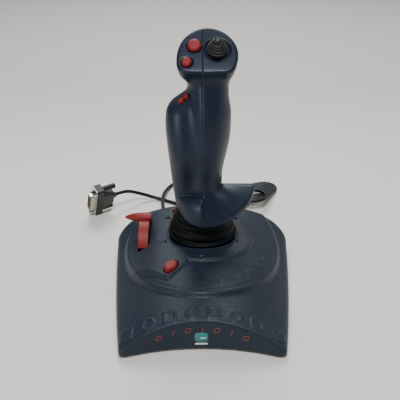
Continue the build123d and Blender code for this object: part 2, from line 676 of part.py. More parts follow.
with BuildPart() as head_board:
    with BuildSketch(face_plane.offset(-BOARD_DEPTH)):
        Ellipse(18.5, 15.5)
    extrude(amount=1.4)
save(head_board.part, "head_board")

SWITCH_RISE = BOARD_DEPTH - 1.4 - BUTTON_FOOT - TRAVEL_GAP
with BuildPart() as head_switches:
    for x, y in (LARGE_BUTTON, SMALL_FOOT):
        with BuildSketch(face_plane.offset(-BOARD_DEPTH + 1.4)):
            with Locations((x, y)):
                Rectangle(6.0, 6.0)
        extrude(amount=SWITCH_RISE - 1.0)
        with BuildSketch(face_plane.offset(-BOARD_DEPTH + 0.4 + SWITCH_RISE)):
            with Locations((x, y)):
                Circle(1.7)
        extrude(amount=1.0)
save(head_switches.part, "head_switches")

for label, spot in SIDE_BUTTONS.items():
    with BuildPart() as side_button:
        with BuildSketch(side_plane(spot).offset(-4.4)):
            Circle(SIDE_R)
        extrude(amount=6.2)
        fillet(side_button.faces().sort_by(Axis(spot, SIDE_NORMAL))[-1].edges(), 1.0)
    save(side_button.part, label)

HAT_PIVOT = 9.0
HAT_PIN_R = 0.8
hat_centre = FACE + face_plane.x_dir * HAT[0] + face_plane.y_dir * HAT[1]
hat_plane = Plane(origin=hat_centre, x_dir=face_plane.x_dir, z_dir=face_normal)
hat_pivot_point = hat_plane.origin - face_normal * HAT_PIVOT
hat_x_plane = Plane(origin=hat_pivot_point, x_dir=face_plane.y_dir, z_dir=face_plane.x_dir)
hat_y_plane = Plane(origin=hat_pivot_point, x_dir=face_plane.x_dir, z_dir=face_plane.y_dir)

with BuildPart() as hat_housing:
    with BuildSketch(hat_plane.offset(-BOARD_DEPTH + 1.4)):
        Circle(9.4)
        Circle(7.3, mode=Mode.SUBTRACT)
    extrude(amount=BOARD_DEPTH - 1.4 - DISH_DEPTH - WALL - 0.05)
    add(cross_cylinder(hat_x_plane.offset(-20), HAT_PIN_R + RUN, 40.0), mode=Mode.SUBTRACT)
save(hat_housing.part, "hat_housing")

with BuildPart() as hat_ring:
    with BuildSketch(hat_plane.offset(-HAT_PIVOT - 1.5)):
        Circle(6.4)
        Circle(4.4, mode=Mode.SUBTRACT)
    extrude(amount=3.0)
    for side in (-1, 1):
        add(cross_cylinder(hat_x_plane.offset(6.0 if side > 0 else -9.0), HAT_PIN_R, 3.0))
    add(cross_cylinder(hat_y_plane.offset(-20), HAT_PIN_R + RUN, 40.0), mode=Mode.SUBTRACT)
save(hat_ring.part, "hat_ring")

with BuildPart() as hat_stem:
    with BuildSketch(hat_plane.offset(-HAT_PIVOT - 3.0)):
        Circle(2.4)
    extrude(amount=HAT_PIVOT + 4.0)
    add(cross_cylinder(hat_y_plane.offset(-6.0), HAT_PIN_R, 12.0))
save(hat_stem.part, "hat_stem")

HAT_STEPS = [(8.9, 0.8), (8.9, 3.0), (7.6, 3.6), (7.6, 5.4), (6.3, 6.0), (6.3, 7.8), (5.1, 8.4),
             (5.1, 9.8), (3.8, 10.4), (3.2, 13.6), (2.0, 14.9), (0.0, 15.2)]
with BuildPart() as hat_cap:
    with BuildSketch(Plane.XZ):
        with BuildLine():
            Polyline((0.0, 1.0), (2.4, 1.0), (2.4, 0.8), *HAT_STEPS, (0.0, 1.0))
        make_face()
    revolve(axis=Axis.Z)
save(hat_plane.location * hat_cap.part, "hat_cap")

# ---- trigger ------------------------------------------------------------------------------
ty, tz = TRIGGER_PIVOT
with BuildPart() as trigger:
    with BuildSketch(x_plane(-TRIGGER_W / 2, ty, tz)):
        with BuildLine():
            Spline((2.0, 4.0), (9.5, 3.0), (15.5, -4.0), (16.6, -12.0), (14.6, -20.0), (15.4, -25.5))
            Polyline((15.4, -25.5), (12.0, -26.5), (8.0, -25.0))
            Spline((8.0, -25.0), (6.0, -12.0), (-3.4, -4.0))
            Polyline((-3.4, -4.0), (-3.4, 3.0), (2.0, 4.0))
        make_face()
        Circle(1.5 + RUN, mode=Mode.SUBTRACT)
    extrude(amount=TRIGGER_W)
    fillet(trigger.edges().filter_by(GeomType.BSPLINE).sort_by(Axis.Y)[-2:], 1.6)
save(trigger.part, "trigger")

with BuildPart() as trigger_pin:
    add(cross_cylinder(x_plane(-TRIGGER_PIN_X, ty, tz), 1.5, 2 * TRIGGER_PIN_X))
save(trigger_pin.part, "trigger_pin")

with BuildPart() as trigger_switch:
    with Locations(TRIGGER_SWITCH):
        Box(*SWITCH_BOX)
    add(cross_cylinder(y_plane(0, TRIGGER_SWITCH[1] + SWITCH_BOX[1] / 2, TRIGGER_SWITCH[2]), 1.4, 1.8))
save(trigger_switch.part, "trigger_switch")

# ---- plug ---------------------------------------------------------------------------------
PLUG_FLANGE = (39.1, 12.5)
PLUG_AXIS = Vector(0.8245, 0.5644, 0.025).normalized()
PLUG_UP = Vector(0.19, -0.319, 0.928)
PLUG_CENTRE = Vector(-126.4, 140.8, 20.8)
plug = Plane(origin=PLUG_CENTRE, x_dir=PLUG_UP, z_dir=PLUG_AXIS)
SCREW_OFFSET = 16.65
HOOD_FRONT = 9.0
HOOD_DEPTH = 23.5
BOSS_END = 28.0


def d_outline(width, height, lean=1.2, corner=2.0):
    """D-shaped outline of the games plug: one long side shorter than the other."""
    with BuildSketch() as shape:
        with BuildLine():
            Polyline((-height / 2, width / 2 - lean), (height / 2, width / 2), (height / 2, -width / 2),
                     (-height / 2, -width / 2 + lean), (-height / 2, width / 2 - lean))
        make_face()
        fillet(shape.vertices(), corner)
    return shape.sketch.rotate(Axis.Z, 90)


def plug_bar(radius, low, high, side):
    """Round bar parallel to the plug's axis at one thumbscrew position."""
    with BuildPart() as bar:
        with BuildSketch(plug.offset(low)):
            with Locations((side * SCREW_OFFSET, 0)):
                Circle(radius)
        extrude(amount=high - low)
    return bar.part


with BuildPart() as plug_shell:
    with BuildSketch(plug):
        RectangleRounded(*PLUG_FLANGE, 1.2)
    extrude(amount=0.8)
    with BuildSketch(plug.offset(-5.9)):
        add(d_outline(25.2, 8.4))
    extrude(amount=5.9)
    with BuildSketch(plug.offset(-6.0)):
        add(d_outline(24.3, 7.5, corner=1.6))
    extrude(amount=7.0, mode=Mode.SUBTRACT)
    for side in (-1, 1):
        add(plug_bar(1.75, -1.0, 2.0, side), mode=Mode.SUBTRACT)
save(plug_shell.part, "plug_shell")

PIN_PITCH, PIN_ROW = 2.76, 1.42
pin_spots = [((i - 3.5) * PIN_PITCH, -PIN_ROW) for i in range(8)]
pin_spots += [((i - 3.0) * PIN_PITCH, PIN_ROW) for i in range(7)]
with BuildPart() as plug_insert:
    with BuildSketch(plug.offset(-0.6)):
        add(d_outline(24.1, 7.3, corner=1.5))
    extrude(amount=7.0)
    with BuildSketch(plug.offset(-1.0)):
        with Locations(*pin_spots):
            Circle(0.5)
    extrude(amount=9.0, mode=Mode.SUBTRACT)
save(plug_insert.part, "plug_insert")

with BuildPart() as plug_pins:
    with BuildSketch(plug.offset(-5.4)):
        with Locations(*pin_spots):
            Circle(0.5)
    extrude(amount=11.6)
save(plug_pins.part, "plug_pins")

with BuildPart() as plug_hood:
    with BuildSketch(plug.offset(0.8)):
        RectangleRounded(40.4, 14.0, 2.0)
    extrude(amount=HOOD_FRONT - 0.8)
    with BuildSketch(plug.offset(HOOD_FRONT)):
        RectangleRounded(25.4, 14.0, 3.0)
    with BuildSketch(plug.offset(HOOD_DEPTH)):
        RectangleRounded(19.0, 11.0, 3.0)
    loft()
    with BuildSketch(plug.offset(HOOD_DEPTH)):
        Circle(4.4)
    with BuildSketch(plug.offset(BOSS_END)):
        Circle(3.2)
    loft()
    with BuildSketch(plug):
        add(d_outline(24.6, 7.8, corner=1.6))
    extrude(amount=7.0, mode=Mode.SUBTRACT)
    for side in (-1, 1):
        add(plug_bar(1.5 + RUN, 0.0, HOOD_FRONT + 1.0, side), mode=Mode.SUBTRACT)
        add(plug_bar(3.7, HOOD_FRONT + 0.01, HOOD_DEPTH + 4.0, side), mode=Mode.SUBTRACT)
save(plug_hood.part, "plug_hood")

for label, side in (("thumbscrew_upper", 1), ("thumbscrew_lower", -1)):
    with BuildPart() as thumbscrew:
        add(plug_bar(1.5, -4.6, HOOD_FRONT + 0.5, side))
        add(plug_bar(3.2, HOOD_FRONT + 0.5, HOOD_DEPTH + 2.0, side))
        chamfer(thumbscrew.edges().sort_by(Axis(PLUG_CENTRE, PLUG_AXIS))[-1], 0.6)
    save(thumbscrew.part, label)

# ---- cord ---------------------------------------------------------------------------------
with BuildPart() as strain_relief:
    for low, high, r in ((-5.2, -3.2, 5.4), (-3.2, 0.0, 3.9), (0.0, 3.0, 5.6)):
        add(cross_cylinder(y_plane(GLAND[0], GLAND[1] + low, GLAND[2]), r, high - low))
    with BuildSketch(y_plane(GLAND[0], GLAND[1] + 3.0, GLAND[2])):
        Circle(5.0)
    with BuildSketch(y_plane(GLAND[0], GLAND[1] + 26.0, GLAND[2])):
        Circle(2.9)
    loft()
save(strain_relief.part, "strain_relief")

plug_exit = PLUG_CENTRE + PLUG_AXIS * BOSS_END
BASE_RUN = [
    (-45.0, 122.5, 12.0), (-45.0, 134.5, 12.0), (-46.4, 148.5, 10.8), (-47.8, 163.0, 9.2),
    (-47.6, 178.0, 8.0), (-46.0, 193.0, 5.6), (-42.6, 208.0, 3.2), (-36.0, 221.5, 2.3),
    (-25.0, 230.5, 2.2), (-11.0, 234.0, 2.2), (4.0, 232.0, 2.2), (17.0, 225.5, 2.2),
    (27.5, 216.5, 2.2), (35.5, 206.5, 2.2),
]
PLUG_RUN = [
    tuple(plug_exit), tuple(plug_exit + PLUG_AXIS * 12.0), (-86.0, 171.0, 17.6), (-77.0, 178.0, 11.4),
    (-65.5, 182.0, 5.6), (-53.5, 180.8, 2.5), (-41.5, 174.5, 2.2), (-30.0, 167.5, 2.2), (-18.5, 164.0, 2.2),
]


def cord_tube(points, label):
    """Round tube along straight runs joined by arcs as large as the runs allow."""
    spots = [Vector(*p) for p in points]
    radii = []
    for before, here, after in zip(spots, spots[1:], spots[2:]):
        turn = (here - before).get_angle(after - here)
        shorter = min((here - before).length, (after - here).length)
        radii.append(0.45 * shorter / tan(radians(turn / 2)))
    with BuildPart() as tube:
        with BuildLine():
            path = FilletPolyline(*spots, radius=radii)
        with BuildSketch(Plane(origin=path @ 0, z_dir=path % 0)):
            Circle(CORD_R)
        sweep()
    section = pi * CORD_R ** 2
    print(label, "radii", [round(r) for r in radii], "length", round(path.length, 1),
          "volume ratio", round(tube.part.volume / (section * path.length), 4))
    save(tube.part, label)


cord_tube(BASE_RUN, "cord_base_run")
cord_tube(PLUG_RUN, "cord_plug_run")

HANK_H = 14.0
with BuildPart() as cord_hank:
    with BuildSketch() as cord_hank_outline:
        with BuildLine():
            Polyline((-20.0, 160.0), (-20.0, 190.0), (40.0, 210.0), (78.0, 226.0), (95.0, 220.0),
                     (95.0, 204.0), (76.0, 158.0), (66.0, 151.0), (20.0, 151.0), (-20.0, 160.0))
        make_face()
        fillet(cord_hank_outline.vertices(), 6.0)
    extrude(amount=HANK_H)
    fillet(cord_hank.faces().sort_by(Axis.Z)[-1].edges(), 4.0)
save(cord_hank.part, "cord_hank")
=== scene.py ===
"""Looks of the desktop flight joystick: grained cover, moulded grip, folded boot, cord and plug."""
import json
import math

import bpy
import numpy as np
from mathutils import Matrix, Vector


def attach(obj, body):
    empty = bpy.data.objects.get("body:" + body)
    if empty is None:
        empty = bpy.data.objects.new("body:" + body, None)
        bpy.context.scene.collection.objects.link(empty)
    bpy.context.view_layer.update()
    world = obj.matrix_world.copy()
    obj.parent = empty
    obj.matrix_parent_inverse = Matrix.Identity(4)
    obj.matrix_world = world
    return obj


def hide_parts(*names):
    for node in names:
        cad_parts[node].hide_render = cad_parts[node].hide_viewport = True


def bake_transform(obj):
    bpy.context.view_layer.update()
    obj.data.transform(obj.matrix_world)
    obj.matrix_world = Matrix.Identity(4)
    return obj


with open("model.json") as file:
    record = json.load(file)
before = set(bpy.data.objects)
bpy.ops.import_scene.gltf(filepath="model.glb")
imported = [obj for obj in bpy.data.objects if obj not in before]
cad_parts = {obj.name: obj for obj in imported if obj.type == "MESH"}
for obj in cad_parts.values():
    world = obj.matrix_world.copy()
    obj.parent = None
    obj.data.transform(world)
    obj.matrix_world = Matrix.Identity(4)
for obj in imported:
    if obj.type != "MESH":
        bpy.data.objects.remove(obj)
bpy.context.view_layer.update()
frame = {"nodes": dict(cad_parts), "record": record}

MM = 0.001
STICK_Y = 33.5

# ---- camera, lights, world ----------------------------------------------------------------
camera_data = bpy.data.cameras.new("camera")
camera_data.lens = 56.7
camera_data.sensor_width = 36.0
camera = bpy.data.objects.new("camera", camera_data)
camera.location = (-0.0023, -0.5041, 0.3768)
camera.rotation_euler = (math.radians(61.2), 0.0, 0.0)
bpy.context.scene.collection.objects.link(camera)
bpy.context.scene.camera = camera


def softbox(name, place, aim, size, power):
    """Square area light at place, facing aim."""
    data = bpy.data.lights.new(name, "AREA")
    data.size = size
    data.energy = power
    lamp = bpy.data.objects.new(name, data)
    lamp.location = place
    lamp.rotation_euler = (Vector(aim) - Vector(place)).to_track_quat("-Z", "Y").to_euler()
    bpy.context.scene.collection.objects.link(lamp)


softbox("back_light", (-0.03, 1.15, 1.35), (0.0, 0.0, 0.05), 0.9, 24.0)
softbox("front_light", (0.0, -0.66, 1.55), (0.0, 0.0, 0.1), 0.45, 22.0)
softbox("window_left", (-1.4, -1.1, 0.4), (0.0, 0.0, 0.15), 0.45, 9.0)
softbox("window_right", (1.6, 0.4, 1.0), (0.0, 0.0, 0.1), 0.9, 5.0)

world = bpy.data.worlds.new("studio")
bpy.context.scene.world = world
world.use_nodes = True
world.node_tree.nodes["Background"].inputs["Color"].default_value = (0.78, 0.79, 0.78, 1.0)
world.node_tree.nodes["Background"].inputs["Strength"].default_value = 0.27


# ---- materials ----------------------------------------------------------------------------
def node(tree, kind, **inputs):
    """New shader node with some of its inputs set."""
    made = tree.nodes.new(kind)
    for key, value in inputs.items():
        made.inputs[key.replace("_", " ")].default_value = value
    return made


def finish_material(name, base, light, rough, grain_size, bump, leather=0.0, metallic=0.0, wear=0.25,
                    specular=0.4):
    """Moulded or coated surface: mottled colour, grain in the bump and the roughness."""
    material = bpy.data.materials.new(name)
    material.use_nodes = True
    tree = material.node_tree
    shader = tree.nodes["Principled BSDF"]
    shader.inputs["Metallic"].default_value = metallic
    shader.inputs["Specular IOR Level"].default_value = specular
    place = tree.nodes.new("ShaderNodeTexCoord")
    mottle = node(tree, "ShaderNodeTexNoise", Scale=55.0, Detail=5.0, Roughness=0.6)
    grain = node(tree, "ShaderNodeTexNoise", Scale=1.0 / grain_size, Detail=3.0, Roughness=0.55)
    cells = tree.nodes.new("ShaderNodeTexVoronoi")
    cells.inputs["Scale"].default_value = 0.8 / grain_size
    for texture in (mottle, grain, cells):
        tree.links.new(place.outputs["Object"], texture.inputs["Vector"])
    colours = tree.nodes.new("ShaderNodeValToRGB")
    colours.color_ramp.elements[0].position = 0.3
    colours.color_ramp.elements[0].color = (*base, 1.0)
    colours.color_ramp.elements[1].position = 0.75
    colours.color_ramp.elements[1].color = (*light, 1.0)
    tree.links.new(mottle.outputs["Fac"], colours.inputs["Fac"])
    tree.links.new(colours.outputs["Color"], shader.inputs["Base Color"])
    height = tree.nodes.new("ShaderNodeMix")
    height.inputs[0].default_value = leather
    tree.links.new(grain.outputs["Fac"], height.inputs[2])
    tree.links.new(cells.outputs["Distance"], height.inputs[3])
    relief = node(tree, "ShaderNodeBump", Strength=bump, Distance=0.0004)
    tree.links.new(height.outputs[0], relief.inputs["Height"])
    tree.links.new(relief.outputs["Normal"], shader.inputs["Normal"])
    polish = tree.nodes.new("ShaderNodeMapRange")
    polish.inputs["To Min"].default_value = rough - wear * 0.3
    polish.inputs["To Max"].default_value = rough + wear * 0.3
    tree.links.new(height.outputs[0], polish.inputs["Value"])
    tree.links.new(polish.outputs["Result"], shader.inputs["Roughness"])
    return material


COVER = finish_material("cover_plastic", (0.0105, 0.0155, 0.027), (0.0145, 0.02, 0.033), 0.42, 0.0009, 0.75, 0.6)
GRIP = finish_material("grip_plastic", (0.0075, 0.0115, 0.025), (0.0095, 0.014, 0.029), 0.36, 0.0006, 0.12, 0.2)
PLATE = finish_material("plate_plastic", (0.012, 0.012, 0.014), (0.018, 0.018, 0.02), 0.5, 0.0008, 0.2)
RED = finish_material("red_plastic", (0.17, 0.011, 0.01), (0.22, 0.017, 0.015), 0.46, 0.0007, 0.12)
RED_PRINT = finish_material("red_print", (0.16, 0.022, 0.026), (0.22, 0.035, 0.038), 0.5, 0.0007, 0.1)
BOOT = finish_material("boot_rubber", (0.001, 0.0013, 0.0014), (0.002, 0.0025, 0.0026), 0.5, 0.0009, 0.3)
FEET = finish_material("feet_rubber", (0.012, 0.012, 0.012), (0.02, 0.02, 0.02), 0.8, 0.0008, 0.3)
CORD = finish_material("cord_black", (0.0022, 0.0026, 0.0026), (0.004, 0.0045, 0.0045), 0.42, 0.0015, 0.1)
HAT = finish_material("hat_black", (0.006, 0.007, 0.008), (0.01, 0.011, 0.012), 0.42, 0.0006, 0.15)
PLUG = finish_material("plug_black", (0.012, 0.012, 0.012), (0.02, 0.02, 0.02), 0.45, 0.0008, 0.2)
CHIP = finish_material("chip_black", (0.01, 0.01, 0.011), (0.016, 0.016, 0.017), 0.5, 0.0005, 0.15)
BOARD = finish_material("circuit_board", (0.012, 0.11, 0.045), (0.02, 0.15, 0.06), 0.35, 0.0015, 0.15)
STEEL = finish_material("steel", (0.5, 0.49, 0.45), (0.62, 0.6, 0.56), 0.3, 0.0008, 0.08, 0.0, 1.0)
GOLD = finish_material("pin_gold", (0.75, 0.52, 0.2), (0.85, 0.62, 0.28), 0.25, 0.0006, 0.05, 0.0, 1.0)
BADGE = finish_material("badge_print", (0.02, 0.16, 0.17), (0.03, 0.21, 0.21), 0.4, 0.0006, 0.08)
WHITE = finish_material("white_print", (0.55, 0.56, 0.55), (0.62, 0.63, 0.62), 0.45, 0.0006, 0.05)
FLOOR = finish_material("floor_paint", (0.69, 0.68, 0.64), (0.71, 0.70, 0.66), 0.6, 0.01, 0.02)
for finish, level in ((GRIP, 0.28), (COVER, 0.32), (BOOT, 0.14), (CORD, 0.3), (RED, 0.3)):
    shader = finish.node_tree.nodes["Principled BSDF"]
    shader.inputs["Specular IOR Level"].default_value = level
    shader.inputs["Specular Tint"].default_value = (0.8, 0.9, 1.0, 1.0)
RED.node_tree.nodes["Principled BSDF"].inputs["Specular Tint"].default_value = (1.0, 0.8, 0.8, 1.0)


def fade_far(material, near, far, dimming):
    """Dim a floor's colour beyond a distance, where the backdrop starts."""
    tree = material.node_tree
    shader = tree.nodes["Principled BSDF"]
    paint = shader.inputs["Base Color"].links[0].from_socket
    place = node(tree, "ShaderNodeTexCoord")
    split = node(tree, "ShaderNodeSeparateXYZ")
    fade = node(tree, "ShaderNodeMapRange", From_Min=near, From_Max=far, To_Min=1.0, To_Max=dimming)
    dimmed = node(tree, "ShaderNodeHueSaturation")
    tree.links.new(place.outputs["Object"], split.inputs[0])
    tree.links.new(split.outputs["Y"], fade.inputs["Value"])
    tree.links.new(fade.outputs[0], dimmed.inputs["Value"])
    tree.links.new(paint, dimmed.inputs["Color"])
    tree.links.new(dimmed.outputs[0], shader.inputs["Base Color"])


fade_far(FLOOR, 0.25, 0.6, 0.8)

SLOT_MATERIALS = {
    "cover_plastic": COVER, "grip_plastic": GRIP, "plate_plastic": PLATE, "red_plastic": RED,
    "boot_rubber": BOOT, "feet_rubber": FEET, "cord_black": CORD, "hat_black": HAT, "plug_black": PLUG,
    "chip_black": CHIP, "circuit_board": BOARD, "steel": STEEL, "pin_gold": GOLD,
}
for entry in frame["record"]["subparts"]:
    cad_mesh = frame["nodes"][entry["node"]].data
    cad_mesh.materials.clear()
    cad_mesh.materials.append(SLOT_MATERIALS[entry["material_slot"]])


# ---- mesh helpers -------------------------------------------------------------------------
def make_piece(name, points, faces, material, body=None, smooth=True):
    """Mesh object from points in millimetres, riding on a body."""
    mesh = bpy.data.meshes.new(name)
    mesh.from_pydata((np.asarray(points, float) * MM).tolist(), [], [list(map(int, f)) for f in faces])
    mesh.validate()
    if smooth:
        mesh.shade_smooth()
    mesh.materials.append(material)
    made = bpy.data.objects.new(name, mesh)
    bpy.context.scene.collection.objects.link(made)
    if body:
        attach(made, body)
    return made


def skin(field, low, high, cell, relax=2):
    """Closed quad skin where field(x, y, z) changes sign; negative is inside."""
    axes = [np.arange(a - 2 * cell, b + 2.5 * cell, cell) for a, b in zip(low, high)]
    grid = np.meshgrid(*axes, indexing="ij", sparse=True)
    values = np.broadcast_to(field(*grid), [len(a) for a in axes]).astype(np.float32)
    inside = values < 0
    shape = [n - 1 for n in values.shape]
    total = np.zeros([*shape, 3], np.float32)
    count = np.zeros(shape, np.float32)
    quads = []
    index = np.arange(int(np.prod(shape))).reshape(shape)
    for k in range(3):
        i, j = (k + 1) % 3, (k + 2) % 3
        head = [slice(None)] * 3
        tail = [slice(None)] * 3
        head[k], tail[k] = slice(0, -1), slice(1, None)
        a, b = values[tuple(head)], values[tuple(tail)]
        crossing = inside[tuple(head)] != inside[tuple(tail)]
        share = np.where(crossing, a / np.where(a == b, 1.0, a - b), 0.0)
        for di in (0, 1):
            for dj in (0, 1):
                part = [slice(None)] * 3
                part[i] = slice(di, values.shape[i] - 1 + di)
                part[j] = slice(dj, values.shape[j] - 1 + dj)
                hit = crossing[tuple(part)]
                count += hit
                total[..., k] += np.where(hit, share[tuple(part)], 0.0)
                total[..., i] += hit * di
                total[..., j] += hit * dj
        inner = [slice(None)] * 3
        inner[i], inner[j] = slice(1, -1), slice(1, -1)
        spots = np.argwhere(crossing[tuple(inner)])
        if not len(spots):
            continue
        spots[:, i] += 1
        spots[:, j] += 1
        corner = []
        for di, dj in ((-1, -1), (0, -1), (0, 0), (-1, 0)):
            cell_at = spots.copy()
            cell_at[:, i] += di
            cell_at[:, j] += dj
            corner.append(index[tuple(cell_at.T)])
        quad = np.stack(corner, 1)
        flip = ~inside[tuple(head)][tuple(spots.T)]
        quad[flip] = quad[flip][:, ::-1]
        quads.append(quad)
    used = count > 0
    number = np.full(shape, -1)
    number[used] = np.arange(int(used.sum()))
    base = np.stack(np.nonzero(used), 1)
    points = (base + total[used] / count[used][:, None]) * cell + np.array([a[0] for a in axes])
    faces = number.ravel()[np.concatenate(quads)]
    for _ in range(relax):
        pull, weight = np.zeros_like(points), np.zeros(len(points))
        for a, b in ((0, 1), (1, 2), (2, 3), (3, 0)):
            for one, other in ((a, b), (b, a)):
                for axis in range(3):
                    pull[:, axis] += np.bincount(faces[:, one], points[faces[:, other], axis], len(points))
                weight += np.bincount(faces[:, one], minlength=len(points))
        points = points + 0.5 * (pull / weight[:, None] - points)
    return points, faces


def smax(a, b, k):
    """Smooth maximum: rounds the edge where two solids are cut by each other."""
    h = np.maximum(k - np.abs(a - b), 0.0) / k
    return np.maximum(a, b) + h * h * k / 4


def smin(a, b, k):
    """Smooth minimum: a fillet where two solids join."""
    return -smax(-a, -b, k)


def ramp(value, low, high):
    """Smooth step from 0 at low to 1 at high."""
    t = np.clip((value - low) / (high - low), 0.0, 1.0)
    return t * t * (3 - 2 * t)


def curve_through(table, z, column):
    """Smooth interpolation of one column of a table by its first column."""
    rows = np.array(table, float)
    order = np.argsort(rows[:, 0])
    xs, ys = rows[order, 0], rows[order, column]
    slopes = np.gradient(ys, xs)
    z = np.clip(z, xs[0], xs[-1])
    k = np.clip(np.searchsorted(xs, z) - 1, 0, len(xs) - 2)
    h = xs[k + 1] - xs[k]
    t = (z - xs[k]) / h
    rise = (2 * t ** 3 - 3 * t ** 2 + 1) * ys[k] + (3 * t ** 2 - 2 * t ** 3) * ys[k + 1]
    return rise + h * ((t ** 3 - 2 * t ** 2 + t) * slopes[k] + (t ** 3 - t ** 2) * slopes[k + 1])


def outline_distance(x, y, outline):
    """Signed distance in plan to a closed outline, negative inside."""
    x, y = np.broadcast_arrays(x, y)
    best = np.full(x.shape, 1e9)
    inside = np.zeros(x.shape, bool)
    for (ax, ay), (bx, by) in zip(outline, np.roll(outline, -1, axis=0)):
        dx, dy = bx - ax, by - ay
        t = np.clip(((x - ax) * dx + (y - ay) * dy) / max(dx * dx + dy * dy, 1e-9), 0, 1)
        best = np.minimum(best, np.hypot(x - ax - t * dx, y - ay - t * dy))
        if ay != by:
            inside ^= ((y < ay) != (y < by)) & (x < ax + (y - ay) * dx / dy)
    return np.where(inside, -best, best)


def arc(start, through, end, steps):
    """Points of a circular arc, without its last point."""
    a, b, c = (np.array(p, float) for p in (start, through, end))
    m = np.array([b - a, c - b])
    centre = np.linalg.solve(m, [m[0] @ (a + b) / 2, m[1] @ (b + c) / 2])
    from_angle, mid, to = (math.atan2(*(p - centre)[::-1]) for p in (a, b, c))
    sweep = (to - from_angle) % (2 * math.pi)
    if (mid - from_angle) % (2 * math.pi) > sweep:
        sweep -= 2 * math.pi
    angles = from_angle + sweep * np.arange(steps) / steps
    return centre + np.hypot(*(a - centre)) * np.stack([np.cos(angles), np.sin(angles)], 1)


# ---- cord ---------------------------------------------------------------------------------
CORD_DIAMETER = 4.2
PLUG_AXIS = Vector((0.8245, 0.5644, 0.025)).normalized()
PLUG_CENTRE = Vector((-126.4, 140.8, 20.8))
PLUG_EXIT = PLUG_CENTRE + PLUG_AXIS * 28.0
BASE_RUN = [
    (-45.0, 122.5, 12.0), (-45.0, 134.5, 12.0), (-46.4, 148.5, 10.8), (-47.8, 163.0, 9.2),
    (-47.6, 178.0, 8.0), (-46.0, 193.0, 5.6), (-42.6, 208.0, 3.2), (-36.0, 221.5, 2.3),
    (-25.0, 230.5, 2.2), (-11.0, 234.0, 2.2), (4.0, 232.0, 2.2), (17.0, 225.5, 2.2), (27.5, 216.5, 2.2),
    (35.5, 206.5, 2.2),
]
PLUG_RUN = [
    tuple(PLUG_EXIT), tuple(PLUG_EXIT + PLUG_AXIS * 12.0), (-86.0, 171.0, 17.6), (-77.0, 178.0, 11.4),
    (-65.5, 182.0, 5.6), (-53.5, 180.8, 2.5), (-41.5, 174.5, 2.2), (-30.0, 167.5, 2.2), (-18.5, 164.0, 2.2),
]
HANK_LEAVES = np.array([6.0, 161.0])
TURNS = 6
FOLD_R = 14.2
FOLD_STEPS = (-75, -45, -15, 15, 45, 75)    # degrees round a fold
RUN_STEPS = (0.06, 0.2, 0.5, 0.8, 0.94)       # shares of the way from one fold to the next


def hank_turns():
    """Flat turns wound clockwise, tied at the left and fanned to the right, each on the one before."""
    folds = []
    for turn in range(TURNS):
        share = turn / (TURNS - 1)
        left = np.array([5.0 * math.sin(2.4 * turn), 177.0 - 3.0 * share])
        right = np.array([80.0 - 16.0 * share, 207.0 - 39.0 * share])
        along = (right - left) / np.linalg.norm(right - left)
        folds.append((left, right, along, np.array([-along[1], along[0]])))
    points = [(39.0, 196.0, 2.3), (38.0, 185.0, 2.3), (30.5, 176.5, 2.3), (19.0, 170.5, 2.3), (10.5, 166.6, 2.3)]
    for turn, (left, right, along, across) in enumerate(folds):
        lift = 2.3 + 2.1 * turn
        for degrees in FOLD_STEPS:
            a = math.radians(degrees)
            points.append((*(left - along * FOLD_R * math.cos(a) + across * FOLD_R * math.sin(a)), lift))
        for reach in RUN_STEPS:
            points.append((*(left + (right - left) * reach + across * FOLD_R), lift + 0.7))
        for degrees in FOLD_STEPS[::-1]:
            a = math.radians(degrees)
            points.append((*(right + along * FOLD_R * math.cos(a) + across * FOLD_R * math.sin(a)), lift + 1.0))
        start = right - across * FOLD_R
        if turn + 1 < TURNS:
            end = folds[turn + 1][0] - folds[turn + 1][3] * FOLD_R
            points += [(*(start + (end - start) * reach), lift + 1.5) for reach in RUN_STEPS]
        else:
            points += [(*(start + (HANK_LEAVES - start) * reach), lift + 1.0) for reach in RUN_STEPS[:3]]
    points += [(17.0, 160.0, 12.0), (5.0, 160.0, 8.8), (-7.5, 161.5, 4.6)]
    return points


route = BASE_RUN + hank_turns() + PLUG_RUN[::-1]
cord_curve = bpy.data.curves.new("cord", "CURVE")
cord_curve.dimensions = "3D"
cord_curve.bevel_depth = CORD_DIAMETER / 2 * MM
cord_curve.bevel_resolution = 5
cord_curve.resolution_u = 8
cord_curve.use_fill_caps = True
spline = cord_curve.splines.new("NURBS")
spline.points.add(len(route) - 1)
for place, spot in zip(spline.points, route):
    place.co = (*(c * MM for c in spot), 1.0)
spline.order_u = 3
spline.use_endpoint_u = True
cord_curve.materials.append(CORD)
cord = bpy.data.objects.new("cord", cord_curve)
bpy.context.scene.collection.objects.link(cord)
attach(cord, "base")
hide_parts("cord_base_run", "cord_plug_run", "cord_hank")

# ---- base cover ---------------------------------------------------------------------------
FRONT_RIGHT, FRONT_LEFT = (71.3, -101.5), (-71.3, -101.5)
OUTLINE = np.concatenate([
    arc(FRONT_RIGHT, (82.9, -17.0), (90.0, 65.0), 30), arc((90.0, 65.0), (85.2, 86.0), (67.0, 95.6), 14),
    arc((67.0, 95.6), (0.0, 96.5), (-67.0, 95.6), 16), arc((-67.0, 95.6), (-85.2, 86.0), (-90.0, 65.0), 14),
    arc((-90.0, 65.0), (-82.9, -17.0), FRONT_LEFT, 30), arc(FRONT_LEFT, (0.0, -88.8), FRONT_RIGHT, 30),
])


def ease_corner(loop, corner, reach):
    """Outline with the points near a corner replaced by a short curve."""
    close = np.hypot(loop[:, 0] - corner[0], loop[:, 1] - corner[1]) < reach
    first = [i for i in range(len(loop)) if close[i] and not close[i - 1]][0]
    loop, count = np.roll(loop, -first, axis=0), int(close.sum())
    entry, leave = loop[-1], loop[count]
    t = np.linspace(0.1, 0.9, 9)[:, None]
    bend = (1 - t) ** 2 * entry + 2 * t * (1 - t) * np.array(corner) + t * t * leave
    return np.concatenate([bend, loop[count:]])


